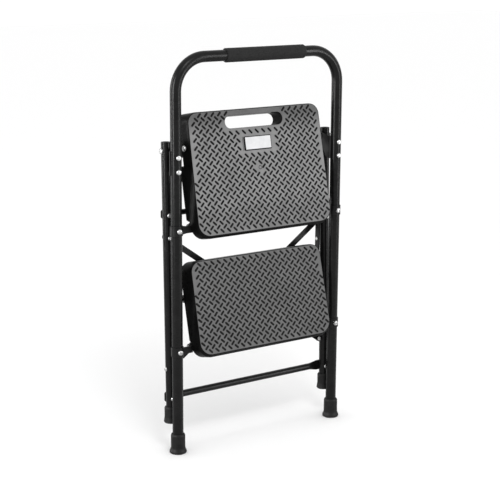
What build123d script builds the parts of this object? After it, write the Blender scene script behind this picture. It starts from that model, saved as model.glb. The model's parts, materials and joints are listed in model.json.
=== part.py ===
from build123d import *
import os
from math import atan2, cos, degrees, hypot, radians, sin

# Folding two-step stool, folded and standing upright.  Units: mm, +Z up, +Y to the rear.
# The front legs lie in the plane Y = Y0; the shared origin is the centre of the footprint.

os.makedirs("parts", exist_ok=True)

# ---------------------------------------------------------------- driving dimensions
Y0 = -6.816                  # front leg axis plane, measured from the shared origin
LEG_X = 222.0               # half spacing of the front leg axes
TOP_Z = 911.3               # axis height of the top handle bar
BEND_R = 74.0               # centreline radius of the two top bends
FRONT_R = 12.7              # front tube outer radius (1 in tube)
FRONT_WALL = 1.5
GRIP_X = 14.0               # the foam grip sits a little to the right
GRIP_LEN = 215.0
GRIP_R = 16.0

PIVOT = (43.5, 702.0)       # rear leg pivot, (Y from leg axis, Z)
HINGE_UP = (9.0, 527.3)     # upper step pivot
HINGE_LOW = (9.0, 245.0)    # lower step pivot
LEAN_UP = 12.4              # folded lean of the upper step from the legs, degrees
LEAN_LOW = 14.3
REAR_R = 11.1               # rear tube outer radius (7/8 in tube)
REAR_WALL = 1.4
REAR_X = 222.0
REAR_DROP = 637.1           # pivot to the rear foot sole
REAR_TILT = -1.124          # folded tilt of the rear frame, degrees
REAR_TOP = 20.0             # rear tube stands this far above its pivot

RIVETS_Z = (661.0, 693.0)   # front facing rivets of the rear leg brackets
PIVOT_PIN_R = 4.0
RUN = 0.05                  # radial running clearance on every hinge pin

V_PIVOT = 18.5              # zero of the lengths v along a step, in front of its hinge
N_PIVOT = 48.0              # zero of the depths n into a step, above its hinge
STEP_TUBE_R = 11.1
STEP_TUBE_WALL = 1.4
STEP_TUBE_X = 169.5
STEP_TUBE_N = 24.6
STEP_BEND_R = 38.0
# each tread seen from its hinge: front and rear edge, surface height, half width in front and behind
UPPER = (-22.4, 256.3, 44.0, 186.0, 181.8)
LOWER = (-19.55, 196.55, 51.2, 186.2, 183.1)
NOSE = 7.0                  # the pan reaches this far in front of the flat surface
RIM_UP = (5.0, 191.0, 190.5)       # height of the pan's lower rim, half width in front and behind
RIM_LOW = (12.0, 189.0, 188.0)
RIM_HINGE = (17.0, 12.0)    # the pan is shallower round the hinges, up to here
SEAT_V = (158.0, 181.0)     # notches in the upper pan for the rear frame's crossbar
SEAT_Z = 16.0
EDGE_DROP = 7.0             # the sloping edge band falls this far below the tread surface
EDGE_IN = 1.2               # and stands this far outside the flat rim at the sides and rear
EDGE_FRONT = 5.0            # and this far at the front
PAN_T = 3.0
SKIN_N = 4.5                # underside of the pan's top skin
RIB_N = 8.5                 # underside of its ribs
MAT_T = 1.5
MAT_IN = 2.6                # mat edge inside the pan's outline
MAT_GAP = 0.3
SLOT_Y = 227.5
SLOT_X = -3.8
SLOT_LEN = 158.5
SLOT_H = 29.0
SLOT_DEPTH = 40.0
LABEL_Y = 175.3
LABEL_X = -1.1
LABEL_SIZE = (75.8, 32.4)
SCREWS_UP = (45.0, 105.0, 240.0)
SCREWS_LOW = (45.0, 100.0, 150.0)
STOP_V = 197.0              # stop plate bolt on the upper step
RAIL_V = (13.0, 258.0)      # ends of the upper step's side rails
CROSS_TUBE_V = 218.0
CROSS_TUBE_R = 9.5
FRAME_LOW_V = 196.0         # rear bar of the lower step's U frame

LINK_V_UP = 130.0           # link pin on the upper step
LINK_V_LOW = 131.74         # and on the lower step
LINK_N = 50.0
LINK_X = (199.0, 202.0)
LINK_W = 15.0
LINK_PIN_R = 4.0
LINK_LOW_HOLE = 5.1         # loose hole radius at the link's lower end
LINK_RIVET_Z = 451.0

CROSS_UP = (-145.6, 6.35, 20.0)    # z from the pivot, tube radius, flat end height
CROSS_LOW = (-578.8, 7.95, 24.0)
BRACE_TOP = -198.0
BRACE_LOW = -507.0
BRACE_W = 14.0
BRACE_T = 2.0


# ---------------------------------------------------------------- small helpers
def cyl_x(r, x0, x1, y, z):
    return Pos((x0 + x1) / 2, y, z) * Rot(0, 90, 0) * Cylinder(r, abs(x1 - x0))


def cyl_y(r, y0, y1, x, z):
    return Pos(x, (y0 + y1) / 2, z) * Rot(90, 0, 0) * Cylinder(r, abs(y1 - y0))


def cyl_z(r, z0, z1, x, y):
    return Pos(x, y, (z0 + z1) / 2) * Cylinder(r, abs(z1 - z0))


def block(x0, x1, y0, y1, z0, z1):
    return Pos((x0 + x1) / 2, (y0 + y1) / 2, (z0 + z1) / 2) * Box(x1 - x0, y1 - y0, z1 - z0)


def button(r, h):
    """Domed head on the XY plane, rising along +Z."""
    head = Cylinder(r, h, align=(Align.CENTER, Align.CENTER, Align.MIN))
    return fillet(head.edges().sort_by(Axis.Z)[-1], h * 0.8)


def hexagon(r, h):
    return extrude(RegularPolygon(r, 6), h)


def plate_yz(sketch, x0, x1):
    return extrude(Plane.YZ.offset(min(x0, x1)) * sketch, abs(x1 - x0))


def plate_xz(sketch, y0, y1):
    return extrude(Plane.XZ.offset(-y1) * sketch, y1 - y0)


def u_tube(points, bend, r, wall):
    path = FilletPolyline(*points, radius=bend)
    start = Plane(origin=path @ 0, z_dir=path % 0)
    return sweep(start * Circle(r), path=path) - sweep(start * Circle(r - wall), path=path)


def on_front(shape):
    return Pos(0, Y0, 0) * shape


def on_rear(shape):
    return Pos(0, Y0 + PIVOT[0], PIVOT[1]) * Rot(REAR_TILT, 0, 0) * shape


def on_upper(shape):
    return Pos(0, Y0 + HINGE_UP[0], HINGE_UP[1]) * Rot(90 - LEAN_UP, 0, 0) * shape


def on_lower(shape):
    return Pos(0, Y0 + HINGE_LOW[0], HINGE_LOW[1]) * Rot(90 - LEAN_LOW, 0, 0) * shape


def save(name, *solids):
    """Write one node; several separate solids become one group."""
    shapes = []
    for item in solids:
        shapes.extend(item.solids())
    node = shapes[0] if len(shapes) == 1 else Compound(children=shapes)
    node.label = name
    export_step(node, "parts/" + name + ".step")


# ---------------------------------------------------------------- front frame
def rivet_holes():
    holes = []
    for side in (-1, 1):
        for z in RIVETS_Z:
            holes.append(cyl_y(2.5, -20, 20, side * LEG_X, z))
        for hinge in (HINGE_UP, HINGE_LOW):
            holes.append(cyl_y(3.0, -20, 20, side * LEG_X, hinge[1]))
    return holes


def front_tube():
    pts = [(-LEG_X, 0, 8), (-LEG_X, 0, TOP_Z), (LEG_X, 0, TOP_Z), (LEG_X, 0, 8)]
    tube = u_tube(pts, BEND_R, FRONT_R, FRONT_WALL)
    for hole in rivet_holes():
        tube -= hole
    return tube


def hand_grip():
    grip = Pos(GRIP_X, 0, TOP_Z) * Rot(0, 90, 0) * Cylinder(GRIP_R, GRIP_LEN)
    grip = fillet(grip.edges().filter_by(GeomType.CIRCLE), 2.2)
    return grip - cyl_x(FRONT_R, -200, 200, 0, TOP_Z)


def foot(bore, body, flange, height):
    """Ribbed rubber foot with a flared sole, standing on z = 0."""
    profile = Polyline((0, 0), (flange - 1.5, 0), (flange, 2.2), (flange - 0.6, 6.0),
                       (body + 0.6, 11.0), (body, 14.0), (body, height - 4.0),
                       (body - 1.2, height - 1.4), (body - 2.6, height), (0, height), close=True)
    solid = revolve(Plane.XZ * make_face(profile), Axis.Z)
    solid -= Pos(0, 0, 8) * Cylinder(bore, height, align=(Align.CENTER, Align.CENTER, Align.MIN))
    groove = Pos(body + 0.35, 0, height / 2 + 2.5) * Box(1.5, 1.7, height - 19.0)
    for k in range(18):
        solid -= Rot(0, 0, 20 * k) * groove
    ring = revolve(Plane.XZ * (Pos(flange * 0.55, 0) * Rectangle(3.0, 2.4)), Axis.Z)
    return solid - ring


def front_foot(side):
    return Pos(side * LEG_X, 0, 0) * foot(FRONT_R, 16.7, 20.2, 46.8)


def pivot_bracket(side):
    """Saddle behind the front tube with one ear beside the rear tube."""
    low = 653.0
    high = 707.0
    ring = cyl_z(FRONT_R + 2.2, low, high, 0, 0) - block(-20, 20, -20, -0.01, low, high)
    hull = make_hull((Pos(PIVOT[0], PIVOT[1]) * Circle(9.5)).edges() +
                     (Pos(12.0, (low + high) / 2) * Rectangle(10, high - low)).edges())
    ear = plate_yz(hull, -13.7, -11.5)
    bracket = ring + ear - cyl_z(FRONT_R, 0, 900, 0, 0)
    bracket -= cyl_x(PIVOT_PIN_R, -30, 30, PIVOT[0], PIVOT[1])
    for z in RIVETS_Z:
        bracket -= cyl_y(2.5, 0, 20, 0, z)
    if side < 0:
        bracket = mirror(bracket, Plane.YZ)
    return Pos(side * LEG_X, 0, 0) * bracket


def bracket_rivet(side, z):
    shank = cyl_y(2.5, -FRONT_R - 1.0, FRONT_R + 3.0, 0, 0)
    head = Pos(0, -FRONT_R + 0.6, 0) * Rot(90, 0, 0) * button(6.0, 3.6)
    head -= cyl_z(FRONT_R, -20, 20, 0, 0)
    tail = Pos(0, FRONT_R + 1.6, 0) * Rot(-90, 0, 0) * button(4.6, 2.8)
    tail -= cyl_z(FRONT_R + 2.2, -20, 20, 0, 0)
    return Pos(side * LEG_X, 0, z) * (shank + head + tail)


def hinge_bracket(side, z, gusset):
    """Strap clamped round the front tube, with an arm and an ear at the step."""
    ring = cyl_z(FRONT_R + 2.0, -11, 11, 0, 0)
    ear_in = -(LEG_X - 183.4)
    ear_out = -(LEG_X - 186.4)
    if gusset:
        outline = [(ear_in, 8.0), (-9.0, 8.0), (-9.0, -18.0), (-14.5, -18.0), (-28.0, -8.0), (ear_in, -8.0)]
    else:
        outline = [(ear_in, 8.5), (-24.0, 8.5), (-9.0, 10.5), (-9.0, -10.5), (-24.0, -8.0), (ear_in, -8.0)]
    arm = plate_xz(make_face(Polyline(*outline, close=True)), -4.5, -1.5)
    hull = make_hull((Pos(HINGE_UP[0], 0) * Circle(9.0)).edges() +
                     (Pos(-2.0, 0) * Rectangle(5.0, 16.0)).edges())
    ear = plate_yz(hull, ear_in, ear_out)
    ear -= cyl_x(PIVOT_PIN_R, -60, 0, HINGE_UP[0], 0)
    bracket = ring + arm + ear - cyl_z(FRONT_R, -40, 40, 0, 0)
    bracket -= cyl_y(3.0, -20, 20, 0, 0)
    if side < 0:
        bracket = mirror(bracket, Plane.YZ)
    return Pos(side * LEG_X, 0, z) * bracket


def hinge_bolt(side, z):
    shank = cyl_y(3.0, -FRONT_R - 2.5, FRONT_R + 7.5, 0, 0)
    head = Pos(0, -FRONT_R - 1.2, 0) * Rot(90, 0, 0) * button(6.2, 4.4)
    head -= cyl_z(FRONT_R + 2.0, -20, 20, 0, 0)
    head -= Pos(0, -FRONT_R - 4.4, 0) * Rot(90, 0, 0) * hexagon(2.6, 3.0)
    return Pos(side * LEG_X, 0, z) * (shank + head)


def hinge_nut(side, z):
    nut = Pos(0, FRONT_R + 1.0, 0) * Rot(-90, 0, 0) * hexagon(5.8, 5.6)
    nut -= cyl_z(FRONT_R + 2.0, -20, 20, 0, 0)
    nut -= cyl_y(3.0, 0, 30, 0, 0)
    return Pos(side * LEG_X, 0, z) * nut


def hinge_pin(side, hinge):
    """Headed pin held in the bracket ear; the step lug turns on it."""
    pin = cyl_x(PIVOT_PIN_R, 177.0, 187.5, 0, 0)
    outer = Pos(186.4, 0, 0) * Rot(0, 90, 0) * button(6.5, 3.2)
    inner = Pos(179.6, 0, 0) * Rot(0, -90, 0) * button(6.5, 3.4)
    whole = pin + outer + inner
    if side < 0:
        whole = mirror(whole, Plane.YZ)
    return Pos(0, hinge[0], hinge[1]) * whole


def pivot_bolt(side):
    """Rear leg pivot: shank through the ear and the rear tube."""
    shank = cyl_x(PIVOT_PIN_R, 204.0, 234.5, 0, 0)
    head = Pos(REAR_X + REAR_R + 0.3, 0, 0) * Rot(0, 90, 0) * button(7.0, 4.0)
    nut = Pos(208.3, 0, 0) * Rot(0, -90, 0) * hexagon(6.6, 5.0)
    whole = shank + head + nut
    if side < 0:
        whole = mirror(whole, Plane.YZ)
    return Pos(0, PIVOT[0], PIVOT[1]) * whole


# ---------------------------------------------------------------- rear frame, pivot at the origin
def rear_leg(side):
    z0 = -REAR_DROP + 8.0
    leg = cyl_z(REAR_R, z0, REAR_TOP, 0, 0) - cyl_z(REAR_R - REAR_WALL, z0 - 1, REAR_TOP + 1, 0, 0)
    leg -= cyl_x(PIVOT_PIN_R + RUN, -20, 20, 0, 0)
    for z in (CROSS_UP[0], CROSS_LOW[0], BRACE_TOP):
        leg -= cyl_y(2.5, -20, 20, 0, z)
    leg -= cyl_x(2.5, -20, 20, 0, BRACE_LOW)
    return Pos(side * REAR_X, 0, 0) * leg


def rear_foot(side):
    return Pos(side * REAR_X, 0, -REAR_DROP) * foot(REAR_R, 15.0, 17.0, 39.2)


def crossbar(spec):
    """Round bar whose ends are pressed flat and lapped behind the rear legs."""
    z, r, tall = spec
    flat = 2.8
    y = REAR_R + flat / 2
    bar = cyl_x(r, -186, 186, y, z) - cyl_x(r - 1.2, -180, 180, y, z)
    for side in (-1, 1):
        p0 = Plane(origin=(side * 186, y, z), x_dir=(0, 1, 0), z_dir=(side, 0, 0))
        p1 = Plane(origin=(side * 207, y, z), x_dir=(0, 1, 0), z_dir=(side, 0, 0))
        bar += loft([p0 * Circle(r), p1 * RectangleRounded(flat, tall, 1.3)])
        tab = Pos(side * 219, z) * RectangleRounded(24.0, tall, 5.0)
        tab += Pos(side * 210, z) * Rectangle(6.0, tall)
        bar += plate_xz(tab, REAR_R, REAR_R + flat)
        bar -= cyl_y(2.5, 0, 30, side * REAR_X, z)
    return bar


def crossbar_rivet(side, z):
    shank = cyl_y(2.5, -REAR_R - 1.0, REAR_R + 4.0, 0, 0)
    head = Pos(0, -REAR_R + 0.6, 0) * Rot(90, 0, 0) * button(5.2, 3.2)
    head -= cyl_z(REAR_R, -20, 20, 0, 0)
    tail = Pos(0, REAR_R + 2.8, 0) * Rot(-90, 0, 0) * button(5.0, 2.6)
    return Pos(side * REAR_X, 0, z) * (shank + head + tail)


def brace_bar(side, joggle):
    """Flat diagonal from the rear face of one leg to the inner face of the other."""
    high = (-side * REAR_X, BRACE_TOP)
    low = (side * (REAR_X - REAR_R), BRACE_LOW)
    dx = low[0] - high[0]
    dz = low[1] - high[1]
    length = hypot(dx, dz)
    mid = (0.0, high[1] + dz * (-high[0]) / dx)
    ux = dx / length
    uz = dz / length
    plane = Plane(origin=(mid[0], 0, mid[1]), x_dir=(ux, 0, uz), z_dir=(-uz, 0, ux))
    start = -hypot(high[0], high[1] - mid[1])
    end = start + length + 14
    y0 = REAR_R
    y1 = REAR_R + BRACE_T
    if joggle:
        h = BRACE_T
        pts = [(start, y0), (-46, y0), (-30, y0 + h), (30, y0 + h), (46, y0), (end, y0),
               (end, y1), (45.4, y1), (29.4, y1 + h), (-29.4, y1 + h), (-45.4, y1), (start, y1)]
    else:
        pts = [(start, y0), (end, y0), (end, y1), (start, y1)]
    bar = extrude(plane * make_face(Polyline(*pts, close=True)), BRACE_W / 2, both=True)
    bar += cyl_y(BRACE_W / 2, y0, y1, high[0], high[1])
    bar &= block(-REAR_X - 20, REAR_X - REAR_R, -50, 50, -900, 0) if side > 0 else block(
        -REAR_X + REAR_R, REAR_X + 20, -50, 50, -900, 0)
    face = side * (REAR_X - REAR_R)
    ear = plate_yz(Pos((y1) / 2, BRACE_LOW) * Rectangle(y1, 16), face - side * 2.0, face)
    ear += cyl_x(8.0, face - side * 2.0, face, 0, BRACE_LOW)
    bar += ear
    bar -= cyl_x(2.5, -260, 260, 0, BRACE_LOW)
    bar -= cyl_y(2.5, -30, 30, high[0], high[1])
    bar -= cyl_y(2.2, -30, 30, mid[0], mid[1])
    return bar


def brace_top_rivet(side):
    shank = cyl_y(2.5, -REAR_R - 1.0, REAR_R + 3.0, 0, 0)
    head = Pos(0, -REAR_R + 0.6, 0) * Rot(90, 0, 0) * button(4.8, 3.0)
    head -= cyl_z(REAR_R, -20, 20, 0, 0)
    tail = Pos(0, REAR_R + BRACE_T, 0) * Rot(-90, 0, 0) * button(5.0, 2.4)
    return Pos(side * REAR_X, 0, BRACE_TOP) * (shank + head + tail)


def brace_low_rivet(side):
    shank = cyl_x(2.5, -REAR_R - 3.0, REAR_R + 1.0, 0, 0)
    head = Pos(REAR_R - 0.6, 0, 0) * Rot(0, 90, 0) * button(5.4, 3.4)
    head -= cyl_z(REAR_R, -20, 20, 0, 0)
    tail = Pos(-REAR_R - 2.0, 0, 0) * Rot(0, -90, 0) * button(5.2, 2.6)
    whole = shank + head + tail
    if side < 0:
        whole = mirror(whole, Plane.YZ)
    return Pos(side * REAR_X, 0, BRACE_LOW) * whole


def brace_center_rivet():
    frac = REAR_X / (2 * REAR_X - REAR_R)
    z = BRACE_TOP + (BRACE_LOW - BRACE_TOP) * frac
    y1 = REAR_R + 2 * BRACE_T
    pin = cyl_y(2.2, REAR_R - 1.0, y1 + 1.0, 0, z)
    head = Pos(0, REAR_R, z) * Rot(90, 0, 0) * button(5.0, 2.2)
    tail = Pos(0, y1, z) * Rot(-90, 0, 0) * button(4.4, 2.2)
    return pin + head + tail


# ---------------------------------------------------------------- steps, pivot at the origin, laid flat
# local y runs to the tread's rear edge, local z points out of the tread surface
def lug_sketch():
    return make_hull(Circle(9.5).edges() + (Pos(8.0, 24.0) * Rectangle(19.0, 16.0)).edges())


def hinge_lug(side):
    lug = plate_yz(lug_sketch(), side * 180.0, side * 183.0)
    return lug - cyl_x(PIVOT_PIN_R + RUN, -200, 200, 0, 0)


def link_lug_sketch(v):
    eye = Pos(v - V_PIVOT, N_PIVOT - LINK_N) * Circle(8.5)
    root = Pos(v - V_PIVOT, 20.0) * Rectangle(26.0, 10.0)
    return make_hull(eye.edges() + root.edges())


def link_lug(side, v):
    """Flat lug hanging from the step's tube, with the link pin at its lower end."""
    lug = plate_yz(link_lug_sketch(v), side * 180.0, side * 183.0)
    return lug - cyl_x(LINK_PIN_R, -200, 200, v - V_PIVOT, N_PIVOT - LINK_N)


def link_pin(side, v):
    """Shouldered pin riveted in the lug; the link turns between its shoulder and its head."""
    pin = cyl_x(LINK_PIN_R, 179.0, LINK_X[1] + 0.6, 0, 0)
    pin += cyl_x(6.5, 183.0, LINK_X[0] - 0.3, 0, 0)
    pin += Pos(180.0, 0, 0) * Rot(0, -90, 0) * button(6.0, 2.6)
    pin += Pos(LINK_X[1] + 0.3, 0, 0) * Rot(0, 90, 0) * button(7.0, 2.8)
    if side < 0:
        pin = mirror(pin, Plane.YZ)
    return Pos(0, v - V_PIVOT, N_PIVOT - LINK_N) * pin


def stop_sketch(grow=0.0):
    y = STOP_V - V_PIVOT
    z = N_PIVOT - STEP_TUBE_N
    return make_hull((Pos(y, z) * Circle(8.5 + grow)).edges() +
                     (Pos(y - 13.6, 4.0) * Circle(6.0 + grow)).edges() +
                     (Pos(y - 13.6, 22.0) * Circle(6.0 + grow)).edges())


def stop_plate(side):
    plate = plate_yz(stop_sketch(), side * 180.0, side * 182.2)
    return plate - cyl_x(3.5, -200, 200, STOP_V - V_PIVOT, N_PIVOT - STEP_TUBE_N)


def stop_bolt(side):
    shank = cyl_x(3.5, 155.5, 185.6, 0, 0)
    head = Pos(185.2, 0, 0) * Rot(0, 90, 0) * button(7.0, 3.4)
    nut = Pos(154.8, 0, 0) * Rot(0, 90, 0) * hexagon(6.2, 4.4)
    nut -= cyl_y(STEP_TUBE_R, -20, 20, STEP_TUBE_X, 0)
    whole = shank + head + nut
    if side < 0:
        whole = mirror(whole, Plane.YZ)
    return Pos(0, STOP_V - V_PIVOT, N_PIVOT - STEP_TUBE_N) * whole


def tread_screw(side, v):
    z = N_PIVOT - STEP_TUBE_N
    shank = cyl_z(2.0, z - STEP_TUBE_R - 1.0, z + STEP_TUBE_R + 6.0, 0, 0)
    head = Pos(0, 0, z - STEP_TUBE_R + 0.8) * Rot(180, 0, 0) * button(4.6, 3.2)
    head -= cyl_y(STEP_TUBE_R, -20, 20, 0, z)
    return Pos(side * STEP_TUBE_X, v - V_PIVOT, 0) * (shank + head)


def drilled(tube, side, screws, link_v):
    """Flats for the lugs and holes for the screws in one side of a step's tube."""
    z = N_PIVOT - STEP_TUBE_N
    tube -= plate_yz(lug_sketch(), side * 180.0, side * 183.0)
    tube -= plate_yz(link_lug_sketch(link_v), side * 180.0, side * 183.0)
    for v in screws:
        tube -= cyl_z(2.0, z - 20, z + 20, side * STEP_TUBE_X, v - V_PIVOT)
    return tube


def step_rail(side):
    """Straight side tube of the upper step."""
    z = N_PIVOT - STEP_TUBE_N
    y0 = RAIL_V[0] - V_PIVOT
    y1 = RAIL_V[1] - V_PIVOT
    x = side * STEP_TUBE_X
    tube = cyl_y(STEP_TUBE_R, y0, y1, x, z) - cyl_y(STEP_TUBE_R - STEP_TUBE_WALL, y0 - 1, y1 + 1, x, z)
    tube = drilled(tube, side, SCREWS_UP, LINK_V_UP)
    tube -= plate_yz(stop_sketch(), side * 180.0, side * 182.2)
    return tube - cyl_x(3.5, side * 150, side * 190, STOP_V - V_PIVOT, z)


def cross_tube():
    """Tube welded between the side rails, its ends coped to them."""
    y = CROSS_TUBE_V - V_PIVOT
    z = N_PIVOT - STEP_TUBE_N
    tube = cyl_x(CROSS_TUBE_R, -STEP_TUBE_X, STEP_TUBE_X, y, z) - cyl_x(CROSS_TUBE_R - 1.4, -180, 180, y, z)
    for side in (-1, 1):
        tube -= cyl_y(STEP_TUBE_R, y - 30, y + 30, side * STEP_TUBE_X, z)
    return tube


def lower_frame():
    z = N_PIVOT - STEP_TUBE_N
    y_back = FRAME_LOW_V - V_PIVOT
    y_front = RAIL_V[0] - V_PIVOT
    pts = [(-STEP_TUBE_X, y_front, z), (-STEP_TUBE_X, y_back, z), (STEP_TUBE_X, y_back, z),
           (STEP_TUBE_X, y_front, z)]
    tube = u_tube(pts, STEP_BEND_R, STEP_TUBE_R, STEP_TUBE_WALL)
    for side in (-1, 1):
        tube = drilled(tube, side, SCREWS_LOW, LINK_V_LOW)
    return tube


def tread_outline(step, halves, inset, nose=0.0):
    """Rounded trapezoid; nose pulls its front edge back further than the other edges."""
    y0 = step[0] - NOSE + inset + nose
    y1 = step[1] - inset
    a = halves[0] - inset
    b = halves[1] - inset
    face = make_face(Polyline((-a, y0), (a, y0), (b, y1), (-b, y1), close=True))
    corners = face.vertices().sort_by(Axis.Y)
    face = fillet(corners[:2], 32.0 - inset)
    corners = face.vertices().sort_by(Axis.Y)
    return fillet(corners[-2:], 26.0 - inset)


def pan_block(step, rim, wall):
    """The pan's outer volume (wall 0) or its cavity, sides flaring to the lower rim."""
    top = step[2]
    shoulder = top - EDGE_DROP
    wide = tread_outline(step, step[3:], wall)
    foot_face = tread_outline(step, rim[1:], wall)
    body = loft([Plane.XY.offset(rim[0]) * foot_face, Plane.XY.offset(shoulder) * wide], ruled=True)
    if wall > 0:
        return body + extrude(Plane.XY.offset(shoulder) * wide, EDGE_DROP - SKIN_N)
    flat = tread_outline(step, step[3:], EDGE_IN, EDGE_FRONT - EDGE_IN)
    band = loft([Plane.XY.offset(shoulder) * wide, Plane.XY.offset(top) * flat], ruled=True)
    edge = band.faces().sort_by(Axis.Z)[-1].edges()
    return body + fillet(edge, 0.8)


def mat_outline(step, gap):
    return tread_outline(step, step[3:], MAT_IN - gap, NOSE - MAT_IN)


def pan(step, rim, screws):
    """Deep moulded pan: a top skin with ribs, flaring side walls and screw bosses."""
    top = step[2]
    outer = pan_block(step, rim, 0.0)
    inner = pan_block(step, rim, PAN_T)
    ribs = Part()
    length = step[1] - step[0]
    for k in range(1, 4):
        y = step[0] + k * length / 4
        ribs += block(-190, 190, y - 1.2, y + 1.2, top - RIB_N, top)
    for x in (-110.0, 0.0, 110.0):
        ribs += block(x - 1.2, x + 1.2, step[0] - 40, step[1] + 40, top - RIB_N, top)
    whole = outer - inner + (inner & ribs)
    tube_z = N_PIVOT - STEP_TUBE_N
    for side in (-1, 1):
        x = side * STEP_TUBE_X
        for v in screws:
            y = v - V_PIVOT
            boss = cyl_z(7.0, tube_z + 2.0, top - 2.0, x, y)
            whole += boss - cyl_y(STEP_TUBE_R, y - 20, y + 20, x, tube_z)
            whole -= cyl_z(2.0, tube_z, tube_z + STEP_TUBE_R + 6.0, x, y)
    z, y = RIM_HINGE
    low = rim[0] - 1
    hinge_gap = Polyline((-60, low), (-60, z), (y, z), (y + 6.5, low), close=True)
    whole -= plate_yz(make_face(hinge_gap), -210, 210)
    return whole - extrude(Plane.XY.offset(top - MAT_T) * mat_outline(step, MAT_GAP), 5)


def slot_sketch(grow):
    return Pos(SLOT_X, SLOT_Y) * SlotOverall(SLOT_LEN + 2 * grow, SLOT_H + 2 * grow)


def label_sketch(grow):
    w, h = LABEL_SIZE
    return Pos(LABEL_X, LABEL_Y) * RectangleRounded(w + 2 * grow, h + 2 * grow, 3.0 + grow)


def upper_pan():
    whole = pan(UPPER, RIM_UP, SCREWS_UP)
    low = UPPER[2] - SLOT_DEPTH
    whole += extrude(Plane.XY.offset(low) * slot_sketch(PAN_T), SLOT_DEPTH - MAT_T)
    whole -= extrude(Plane.XY.offset(low - 1) * slot_sketch(0.0), 50.0)
    y = STOP_V - V_PIVOT
    z = N_PIVOT - STEP_TUBE_N
    for side in (-1, 1):
        x0, x1 = sorted((side * 176.0, side * 200.0))
        whole -= block(x0, x1, SEAT_V[0] - V_PIVOT, SEAT_V[1] - V_PIVOT, 0.0, SEAT_Z)
        whole -= plate_yz(stop_sketch(0.4), side * 178.0, side * 182.6)
        whole -= cyl_x(8.2, side * 185.2, side * 200.0, y, z)
        whole -= cyl_x(3.5, side * 176.0, side * 200.0, y, z)
    return whole


def lower_pan():
    return pan(LOWER, RIM_LOW, SCREWS_LOW)


def tread_mat(step):
    return extrude(Plane.XY.offset(step[2] - MAT_T) * mat_outline(step, 0.0), MAT_T)


def upper_mat():
    mat = tread_mat(UPPER)
    mat -= extrude(Plane.XY.offset(UPPER[2] - 5) * slot_sketch(0.6), 10)
    return mat - extrude(Plane.XY.offset(UPPER[2] - 1.0) * label_sketch(0.4), 2.0)


def label_plate():
    return extrude(Plane.XY.offset(UPPER[2] - 1.0) * label_sketch(0.0), 1.3)


# ---------------------------------------------------------------- flat links between the two steps
def step_point(hinge, lean, v):
    a = radians(lean)
    y = hinge[0] + (v - V_PIVOT) * sin(a) + (LINK_N - N_PIVOT) * cos(a)
    z = hinge[1] + (v - V_PIVOT) * cos(a) - (LINK_N - N_PIVOT) * sin(a)
    return y, z


def link_line():
    return step_point(HINGE_UP, LEAN_UP, LINK_V_UP), step_point(HINGE_LOW, LEAN_LOW, LINK_V_LOW)


def link_bar(side):
    """Flat bar, close on the upper pin and loose on the lower one."""
    top, bottom = link_line()
    dy = top[0] - bottom[0]
    dz = top[1] - bottom[1]
    length = hypot(dy, dz)
    tilt = degrees(atan2(dz, dy)) - 90
    middle = Pos((top[0] + bottom[0]) / 2, (top[1] + bottom[1]) / 2)
    outline = middle * Rot(0, 0, tilt) * Rectangle(LINK_W, length)
    outline += Pos(*top) * Circle(9.5)
    outline += Pos(*bottom) * Circle(10.5)
    bar = plate_yz(outline, side * LINK_X[0], side * LINK_X[1])
    bar -= cyl_x(LINK_PIN_R + RUN, -210, 210, top[0], top[1])
    bar -= cyl_x(LINK_LOW_HOLE, -210, 210, bottom[0], bottom[1])
    return bar - cyl_x(2.5, -210, 210, link_y(), LINK_RIVET_Z)


def link_y():
    """Centre line of the link at its rivet."""
    top, bottom = link_line()
    return bottom[0] + (top[0] - bottom[0]) * (LINK_RIVET_Z - bottom[1]) / (top[1] - bottom[1])


def link_rivet(side):
    pin = cyl_x(2.5, LINK_X[0] - 1.0, LINK_X[1] + 1.0, 0, 0)
    pin += Pos(LINK_X[1], 0, 0) * Rot(0, 90, 0) * button(4.6, 2.2)
    pin += Pos(LINK_X[0], 0, 0) * Rot(0, -90, 0) * button(4.6, 2.2)
    if side < 0:
        pin = mirror(pin, Plane.YZ)
    return Pos(0, link_y(), LINK_RIVET_Z) * pin


# ---------------------------------------------------------------- export
SIDES = ((-1, "left"), (1, "right"))
HINGES = (("upper", HINGE_UP), ("lower", HINGE_LOW))

save("front_tube", on_front(front_tube()))
save("hand_grip", on_front(hand_grip()))
for s, tag in SIDES:
    save("front_foot_" + tag, on_front(front_foot(s)))
    save("pivot_bracket_" + tag, on_front(pivot_bracket(s)))
    save("hinge_bracket_upper_" + tag, on_front(hinge_bracket(s, HINGE_UP[1], False)))
    save("hinge_bracket_lower_" + tag, on_front(hinge_bracket(s, HINGE_LOW[1], True)))
    save("rear_leg_" + tag, on_rear(rear_leg(s)))
    save("rear_foot_" + tag, on_rear(rear_foot(s)))
    save("upper_hinge_lug_" + tag, on_upper(hinge_lug(s)))
    save("lower_hinge_lug_" + tag, on_lower(hinge_lug(s)))
    save("upper_link_lug_" + tag, on_upper(link_lug(s, LINK_V_UP)))
    save("lower_link_lug_" + tag, on_lower(link_lug(s, LINK_V_LOW)))
    save("stop_plate_" + tag, on_upper(stop_plate(s)))
    save("upper_step_rail_" + tag, on_upper(step_rail(s)))
    save("link_bar_" + tag, on_front(link_bar(s)))
save("bracket_rivets", *[on_front(bracket_rivet(s, z)) for s, t in SIDES for z in RIVETS_Z])
save("hinge_bolts", *[on_front(hinge_bolt(s, h[1])) for s, t in SIDES for n, h in HINGES])
save("hinge_nuts", *[on_front(hinge_nut(s, h[1])) for s, t in SIDES for n, h in HINGES])
save("hinge_pins", *[on_front(hinge_pin(s, h)) for s, t in SIDES for n, h in HINGES])
save("pivot_bolts", *[on_front(pivot_bolt(s)) for s, t in SIDES])
save("crossbar_upper", on_rear(crossbar(CROSS_UP)))
save("crossbar_lower", on_rear(crossbar(CROSS_LOW)))
save("crossbar_rivets", *[on_rear(crossbar_rivet(s, c[0])) for s, t in SIDES for c in (CROSS_UP, CROSS_LOW)])
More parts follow.
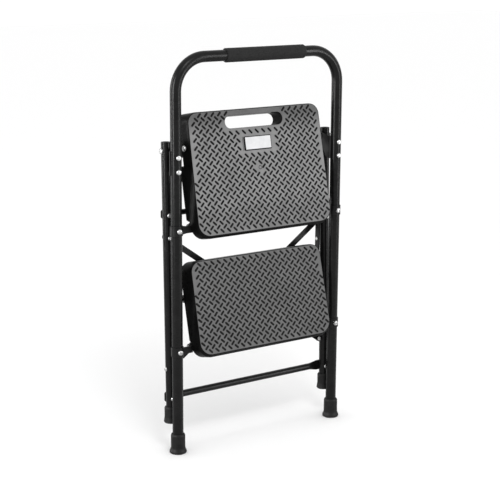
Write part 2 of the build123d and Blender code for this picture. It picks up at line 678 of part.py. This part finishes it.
save("brace_bar_front", on_rear(brace_bar(1, False)))
save("brace_bar_rear", on_rear(brace_bar(-1, True)))
save("brace_rivets", *[on_rear(f(s)) for s, t in SIDES for f in (brace_top_rivet, brace_low_rivet)])
save("brace_center_rivet", on_rear(brace_center_rivet()))
save("upper_step_cross_tube", on_upper(cross_tube()))
save("lower_step_frame", on_lower(lower_frame()))
save("upper_tread_pan", on_upper(upper_pan()))
save("lower_tread_pan", on_lower(lower_pan()))
save("upper_tread_mat", on_upper(upper_mat()))
save("lower_tread_mat", on_lower(tread_mat(LOWER)))
save("label_plate", on_upper(label_plate()))
save("stop_bolts", *[on_upper(stop_bolt(s)) for s, t in SIDES])
save("upper_tread_screws", *[on_upper(tread_screw(s, v)) for s, t in SIDES for v in SCREWS_UP])
save("lower_tread_screws", *[on_lower(tread_screw(s, v)) for s, t in SIDES for v in SCREWS_LOW])
save("upper_link_pins", *[on_upper(link_pin(s, LINK_V_UP)) for s, t in SIDES])
save("lower_link_pins", *[on_lower(link_pin(s, LINK_V_LOW)) for s, t in SIDES])
save("link_rivets", *[on_front(link_rivet(s)) for s, t in SIDES])
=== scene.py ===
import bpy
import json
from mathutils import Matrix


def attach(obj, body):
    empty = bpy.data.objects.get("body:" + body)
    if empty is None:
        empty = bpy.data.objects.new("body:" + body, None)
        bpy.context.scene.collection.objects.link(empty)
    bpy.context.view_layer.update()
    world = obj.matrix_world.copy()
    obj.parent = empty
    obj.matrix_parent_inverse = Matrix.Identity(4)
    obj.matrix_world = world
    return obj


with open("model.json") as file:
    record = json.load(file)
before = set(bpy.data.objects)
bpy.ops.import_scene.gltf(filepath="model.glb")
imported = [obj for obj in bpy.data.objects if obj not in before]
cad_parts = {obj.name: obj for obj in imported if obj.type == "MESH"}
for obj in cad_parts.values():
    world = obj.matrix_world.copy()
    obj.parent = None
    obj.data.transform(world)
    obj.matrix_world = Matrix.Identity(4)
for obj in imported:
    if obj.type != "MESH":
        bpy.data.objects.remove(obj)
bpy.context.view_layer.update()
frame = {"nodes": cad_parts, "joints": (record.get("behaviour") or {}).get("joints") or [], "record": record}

import json
import math
import bpy
import bmesh
from mathutils import Matrix, Vector

# Folding two-step stool. Metres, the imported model's frame: +Z up, -Y towards the user.
# A tread's own axes start at its hinge: x across, y up the tread, z out of its surface.
JOINT_AT = {joint["name"]: joint["pos_m"] for joint in frame["joints"]}
HINGE_UP = JOINT_AT["upper_step_fold"]
HINGE_LOW = JOINT_AT["lower_step_fold"]
LEG_Y = frame["record"]["mounts"][0]["pos_m"][1]

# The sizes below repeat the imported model's driving dimensions.
LEAN_UP = 12.4
LEAN_LOW = 14.3
# each tread: flat surface's front and rear edge, its height, half width in front and behind
UPPER = (-0.0224, 0.2563, 0.0440, 0.1860, 0.1818)
LOWER = (-0.01955, 0.19655, 0.0512, 0.1862, 0.1831)
NOSE = 0.007                # the pan reaches this far in front of the flat surface
MAT_IN = 0.0026             # mat edge inside the pan's outline
MAT_CORNER_FRONT = 0.0294
MAT_CORNER_REAR = 0.0234
SLOT_X = -0.0038
SLOT_Y = 0.2275
SLOT_HALF = 0.06475         # from the slot's middle to the centre of its round end
SLOT_R = 0.0145
LABEL_X = -0.0011
LABEL_Y = 0.1753
LABEL_HALF = (0.0379, 0.0162)
RING_X = -0.0014
RING_Y = 0.1185

# Raised bars of the tread pattern
BAR_START = 0.008           # first row from the tread's front edge
BAR_PITCH = 0.01765         # between the bars of one row
ROW_PITCH = 0.00903
BAR_REACH = 12              # bars to each side of the middle, more than fit
BAR_LENGTH = 0.0134
BAR_WIDTH = 0.0048
BAR_HEIGHT = 0.0010
BAR_PROFILE = ((0.0, -0.6), (0.0, 0.55), (0.18, 0.88), (0.42, 1.0))    # (inset, share of the height)
BAR_MARGIN = 0.0050         # from a bar's centre to the mat's edge
SLOT_CLEAR = 0.0075
LABEL_CLEAR = (0.008, 0.0075)
RING_CLEAR = 0.009

scene = bpy.context.scene
scene.view_settings.view_transform = "Standard"
scene.view_settings.look = "None"


# ------------------------------------------------------------ materials
def material(name):
    m = bpy.data.materials.new(name)
    m.use_nodes = True
    return m, m.node_tree.nodes, m.node_tree.links, m.node_tree.nodes["Principled BSDF"]


def object_coords(nodes):
    return nodes.new("ShaderNodeTexCoord").outputs["Object"]


def noise(nodes, links, coords, scale, detail=3.0, rough=0.5):
    n = nodes.new("ShaderNodeTexNoise")
    n.inputs["Scale"].default_value = scale
    n.inputs["Detail"].default_value = detail
    n.inputs["Roughness"].default_value = rough
    links.new(coords, n.inputs["Vector"])
    return n.outputs["Fac"]


def ramp(nodes, links, fac, stops):
    """Colour ramp; a stop is (position, grey level) or (position, colour)."""
    r = nodes.new("ShaderNodeValToRGB")
    while len(r.color_ramp.elements) < len(stops):
        r.color_ramp.elements.new(0.5)
    for element, (position, tone) in zip(r.color_ramp.elements, stops):
        colour = tone if isinstance(tone, tuple) else (tone, tone, tone)
        element.position = position
        element.color = (*colour, 1.0)
    links.new(fac, r.inputs["Fac"])
    return r.outputs["Color"]


def bump(nodes, links, bsdf, height, distance, strength):
    b = nodes.new("ShaderNodeBump")
    b.inputs["Strength"].default_value = strength
    b.inputs["Distance"].default_value = distance
    links.new(height, b.inputs["Height"])
    links.new(b.outputs["Normal"], bsdf.inputs["Normal"])


def cloudy(name, tone, gloss, grain, depth, specular=0.5, metallic=0.0):
    """A surface whose colour and roughness drift a little, with a fine grain.

    tone and gloss are (noise scale, detail, ramp stops), grain is noise arguments and depth
    is the bump's (distance, strength).
    """
    m, nodes, links, bsdf = material(name)
    co = object_coords(nodes)
    for (scale, detail, stops), socket in ((tone, "Base Color"), (gloss, "Roughness")):
        links.new(ramp(nodes, links, noise(nodes, links, co, scale, detail), stops), bsdf.inputs[socket])
    bsdf.inputs["Specular IOR Level"].default_value = specular
    bsdf.inputs["Metallic"].default_value = metallic
    bump(nodes, links, bsdf, noise(nodes, links, co, *grain), *depth)
    return m


def mat_rubber(name, low, high, painted_shade, gloss):
    """Grey tread rubber with a pebbled grain, its grey partly painted sheen; the darkening towards the floor
    is painted shading.
    """
    m, nodes, links, bsdf = material(name)
    co = object_coords(nodes)
    tone = ramp(nodes, links, noise(nodes, links, co, 26, 5, 0.65), [(0.3, low), (0.7, high)])
    split = nodes.new("ShaderNodeSeparateXYZ")
    links.new(co, split.inputs["Vector"])
    # along Z, painted light: the lower tread darkened by painted shading, the upper tread at full tone, and
    # a darker band round the hand slot where the field's painted sheen stops
    height = ramp(nodes, links, split.outputs["Z"],
                  [(0.22, painted_shade), (0.47, painted_shade * 1.2), (0.60, 1.0), (0.73, 0.95), (0.77, 0.45)])
    mix = nodes.new("ShaderNodeMixRGB")
    mix.blend_type = "MULTIPLY"
    mix.inputs["Fac"].default_value = 1.0
    links.new(tone, mix.inputs["Color1"])
    links.new(height, mix.inputs["Color2"])
    links.new(mix.outputs["Color"], bsdf.inputs["Base Color"])
    links.new(ramp(nodes, links, noise(nodes, links, co, 140, 3), [(0.3, 0.48), (0.7, 0.60)]),
              bsdf.inputs["Roughness"])
    bsdf.inputs["Specular IOR Level"].default_value = gloss
    pebbles = nodes.new("ShaderNodeTexVoronoi")
    pebbles.inputs["Scale"].default_value = 1500
    links.new(co, pebbles.inputs["Vector"])
    bump(nodes, links, bsdf, pebbles.outputs["Distance"], 0.00015, 0.5)
    return m


# Glossy black powder coat on the tubes: fine orange peel, a little uneven in gloss.
TUBE = cloudy("black_gloss_coat", (35, 4, [(0.3, 0.004), (0.75, 0.008)]),
              (60, 3, [(0.3, 0.22), (0.75, 0.32)]), (900, 2), (0.00008, 0.35), specular=0.13)
# The same coat on the pressed brackets, duller.
COAT = cloudy("black_bracket_coat", (60, 4, [(0.3, 0.004), (0.75, 0.009)]),
              (90, 3, [(0.3, 0.28), (0.75, 0.42)]), (700, 2), (0.0001, 0.4), specular=0.14)
# Closed-cell foam sleeve: dull, with fine pores.
FOAM = cloudy("grip_foam", (500, 5, [(0.3, 0.010), (0.7, 0.024)]),
              (120, 3, [(0.3, 0.72), (0.7, 0.85)]), (1400, 3, 0.7), (0.0004, 0.6), specular=0.12)
RUBBER = cloudy("foot_rubber", (80, 4, [(0.3, 0.005), (0.75, 0.012)]),
                (200, 3, [(0.3, 0.42), (0.7, 0.58)]), (1100, 3), (0.0002, 0.5), specular=0.15)
# Semi-gloss black moulded plastic with a faint grain.
PAN = cloudy("black_pan_plastic", (45, 4, [(0.3, 0.003), (0.75, 0.006)]),
             (110, 3, [(0.3, 0.26), (0.75, 0.38)]), (1000, 2), (0.00008, 0.4), specular=0.03)
# The mat's grey is partly painted sheen, and both tread materials are darkened lower down by painted
# shading.
MAT = mat_rubber("tread_mat", low=0.165, high=0.235, painted_shade=0.50, gloss=0.22)
BAR = mat_rubber("tread_bar", low=0.002, high=0.006, painted_shade=0.9, gloss=0.08)
# Bright zinc plate, slightly cloudy.
PLATED = cloudy("plated_steel", (120, 4, [(0.3, 0.30), (0.75, 0.46)]),
                (260, 3, [(0.3, 0.26), (0.75, 0.40)]), (1500, 2), (0.00005, 0.4), metallic=1.0)
FOIL = cloudy("label_foil", (90, 3, [(0.3, (0.60, 0.60, 0.61)), (0.75, (0.68, 0.68, 0.69))]),
              (300, 3, [(0.3, 0.44), (0.75, 0.56)]), (1300, 2), (0.00003, 0.4), specular=0.1)

LOOKS = {"black_tube": TUBE, "black_hardware": COAT, "grip_foam": FOAM, "foot_rubber": RUBBER,
         "pan_plastic": PAN, "tread_mat": MAT, "plated_steel": PLATED, "label": PAN}
for part in frame["record"]["subparts"]:
    node = frame["nodes"][part["node"]]
    look = LOOKS[part["material_slot"]]
    if not node.material_slots:
        node.data.materials.append(look)
    for material_slot in node.material_slots:
        material_slot.material = look


# ------------------------------------------------------------ tread pattern and label
def step_matrix(hinge, lean):
    """From a tread's own axes to the shared frame."""
    return Matrix.Translation((0, hinge[1], hinge[2])) @ Matrix.Rotation(math.radians(90 - lean), 4, "X")


def mesh_object(name, bm, look, matrix, body):
    bm.transform(matrix)
    me = bpy.data.meshes.new(name)
    bm.to_mesh(me)
    bm.free()
    me.materials.append(look)
    ob = bpy.data.objects.new(name, me)
    scene.collection.objects.link(ob)
    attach(ob, body)


def join_rings(bm, lower, upper):
    """Wall of faces between two rings of vertices."""
    n = len(lower)
    return [bm.faces.new((lower[i], lower[(i + 1) % n], upper[(i + 1) % n], upper[i])) for i in range(n)]


def add_bar(bm, x, y, z, angle):
    """One raised bar with round ends and a softened top edge."""
    c, s = math.cos(angle), math.sin(angle)
    half = BAR_LENGTH / 2 - BAR_WIDTH / 2
    rings = []
    for inset, share in BAR_PROFILE:
        r = BAR_WIDTH / 2 * (1 - inset)
        ring = []
        for end in (1, -1):
            for k in range(5):
                a = math.radians(-90 + 45 * k) + (0 if end > 0 else math.pi)
                px, py = end * half + r * math.cos(a), r * math.sin(a)
                spot = (x + px * c - py * s, y + px * s + py * c, z + BAR_HEIGHT * share)
                ring.append(bm.verts.new(spot))
        rings.append(ring)
    for lower, upper in zip(rings, rings[1:]):
        for face in join_rings(bm, lower, upper):
            face.smooth = True
    bm.faces.new(rings[-1])
    bm.faces.new(list(reversed(rings[0])))


def half_width(y, step):
    """Half the mat's width at y: the tread narrows evenly towards the rear."""
    front, rear, _, half_front, half_rear = step
    t = (y - front + NOSE) / (rear - front + NOSE)
    return half_front + (half_rear - half_front) * t - MAT_IN


def inside_tread(x, y, step):
    """True where a bar's centre may lie: inside the mat and its round corners."""
    front, rear = step[0], step[1] - MAT_IN
    if not front + BAR_MARGIN <= y <= rear - BAR_MARGIN:
        return False
    half = half_width(y, step)
    if abs(x) > half - BAR_MARGIN:
        return False
    for edge, r, inward in ((front, MAT_CORNER_FRONT, 1), (rear, MAT_CORNER_REAR, -1)):
        dy = (y - edge) * inward
        dx = abs(x) - (half - r)
        if dy < r and dx > 0 and math.hypot(dx, r - dy) > r - BAR_MARGIN:
            return False
    return True


def near_slot(x, y):
    dx = max(abs(x - SLOT_X) - SLOT_HALF, 0.0)
    return math.hypot(dx, y - SLOT_Y) < SLOT_R + SLOT_CLEAR


def near_label(x, y):
    return (abs(x - LABEL_X) < LABEL_HALF[0] + LABEL_CLEAR[0]
            and abs(y - LABEL_Y) < LABEL_HALF[1] + LABEL_CLEAR[1])


def near_ring(x, y):
    return math.hypot(x - RING_X, y - RING_Y) < RING_CLEAR


def tread_bars(name, body, hinge, lean, step, smooth_areas):
    """Raised bars whose rows slant one way and the other in turn."""
    bm = bmesh.new()
    rows = int((step[1] - step[0]) / ROW_PITCH) + 2
    for row in range(rows):
        y = step[0] + BAR_START + row * ROW_PITCH
        odd = row % 2
        for k in range(-BAR_REACH, BAR_REACH + 1):
            x = (k + 0.5 * odd) * BAR_PITCH
            if inside_tread(x, y, step) and not any(near(x, y) for near in smooth_areas):
                add_bar(bm, x, y, step[2], math.radians(45 if odd else -45))
    mesh_object(name, bm, BAR, step_matrix(hinge, lean), body)


def patch(name, x0, x1, y0, y1, level, look):
    """Thin flat rectangle lying on the upper mat."""
    bm = bmesh.new()
    z = UPPER[2] + level
    bm.faces.new([bm.verts.new((x, y, z)) for x, y in ((x0, y0), (x1, y0), (x1, y1), (x0, y1))])
    mesh_object(name, bm, look, step_matrix(HINGE_UP, LEAN_UP), "upper_step")


def mould_ring():
    """Small round witness mark in the upper mat."""
    bm = bmesh.new()
    points = 24
    rings = []
    for radius, level in ((0.0046, 0.0), (0.0040, 0.0004), (0.0034, 0.0)):
        ring = []
        for k in range(points):
            a = math.tau * k / points
            spot = (RING_X + radius * math.cos(a), RING_Y + radius * math.sin(a), UPPER[2] + level)
            ring.append(bm.verts.new(spot))
        rings.append(ring)
    for outer, inner in zip(rings, rings[1:]):
        join_rings(bm, outer, inner)
    mesh_object("mould_ring", bm, BAR, step_matrix(HINGE_UP, LEAN_UP), "upper_step")


tread_bars("upper_tread_bars", "upper_step", HINGE_UP, LEAN_UP, UPPER, (near_slot, near_label, near_ring))
tread_bars("lower_tread_bars", "lower_step", HINGE_LOW, LEAN_LOW, LOWER, ())
# The label is a silver field on a black plate, set off to the right so the plate shows wider on the left:
# painted shadow of the recess wall, with a painted shadow line beside it.
patch("label_face", -0.0345, 0.0353, 0.1616, 0.1897, 0.0004, FOIL)
patch("label_painted_shadow_line", -0.0420, -0.0410, 0.1591, 0.1915, 0.0001, PAN)
mould_ring()


# ------------------------------------------------------------ stage, lights, camera
def floor():
    m, _, _, bsdf = material("pale_floor")
    bsdf.inputs["Base Color"].default_value = (0.92, 0.92, 0.92, 1)
    bsdf.inputs["Roughness"].default_value = 0.9
    bsdf.inputs["Specular IOR Level"].default_value = 0.1
    bm = bmesh.new()
    bmesh.ops.create_grid(bm, x_segments=1, y_segments=1, size=14)
    me = bpy.data.meshes.new("floor")
    bm.to_mesh(me)
    bm.free()
    me.materials.append(m)
    ob = bpy.data.objects.new("floor", me)
    scene.collection.objects.link(ob)


def area(name, loc, target, size, size_y, power, glossy_only=False):
    """Soft rectangular light; a glossy-only one shows in reflections and lights nothing else."""
    light = bpy.data.lights.new(name, "AREA")
    light.shape = "RECTANGLE"
    light.size = size
    light.size_y = size_y
    light.energy = power
    ob = bpy.data.objects.new(name, light)
    ob.location = loc
    if glossy_only:
        ob.visible_diffuse = False
    ob.rotation_euler = (Vector(target) - Vector(loc)).to_track_quat("-Z", "Y").to_euler()
    scene.collection.objects.link(ob)


def studio():
    """White surroundings, strips that draw the streaks on the tubes, and a soft key light."""
    world = bpy.data.worlds.new("studio")
    world.use_nodes = True
    background = world.node_tree.nodes["Background"]
    background.inputs["Color"].default_value = (1, 1, 1, 1)
    background.inputs["Strength"].default_value = 1.08
    scene.world = world
    area("strip_left", (-1.95, 1.55, 0.75), (0, 0, 0.5), 0.30, 2.2, 42, glossy_only=True)
    area("strip_right", (1.55, -2.00, 0.75), (0, 0, 0.5), 0.25, 2.2, 34, glossy_only=True)
    area("softbox", (1.50, -2.25, 1.02), (0, 0, 0.62), 0.55, 0.35, 9, glossy_only=True)
    area("kicker", (-2.30, -0.33, 1.05), (0, 0, 0.80), 0.14, 1.60, 60.0, glossy_only=True)
    area("key", (-0.5, -1.6, 2.3), (0, -0.02, 0.66), 0.7, 0.7, 16)


def camera(azimuth, elevation, roll, distance, offset, aim_height, lens):
    """Camera to the front left that looks down a little; offset slides it (left, up) of its aim."""
    data = bpy.data.cameras.new("camera")
    data.sensor_width = 36.0
    data.lens = lens
    data.clip_start = 0.05
    data.clip_end = 100
    ob = bpy.data.objects.new("camera", data)
    turn, tilt, spin = (math.radians(a) for a in (azimuth, elevation, roll))
    look = Vector((math.sin(turn) * math.cos(tilt), math.cos(turn) * math.cos(tilt), -math.sin(tilt)))
    right = look.cross(Vector((0, 0, 1))).normalized()
    up = right.cross(look)
    eye = Vector((0, LEG_Y, aim_height)) - look * distance - right * offset[0] + up * offset[1]
    side = right * math.cos(spin) + up * math.sin(spin)
    top = up * math.cos(spin) - right * math.sin(spin)
    ob.matrix_world = Matrix(((side.x, top.x, -look.x, eye.x), (side.y, top.y, -look.y, eye.y),
                              (side.z, top.z, -look.z, eye.z), (0, 0, 0, 1)))
    scene.collection.objects.link(ob)
    scene.camera = ob


floor()
studio()
camera(azimuth=34.0, elevation=13.3, roll=0.3, distance=3.111, offset=(0.0194, 0.0240),
       aim_height=0.430, lens=95.544)
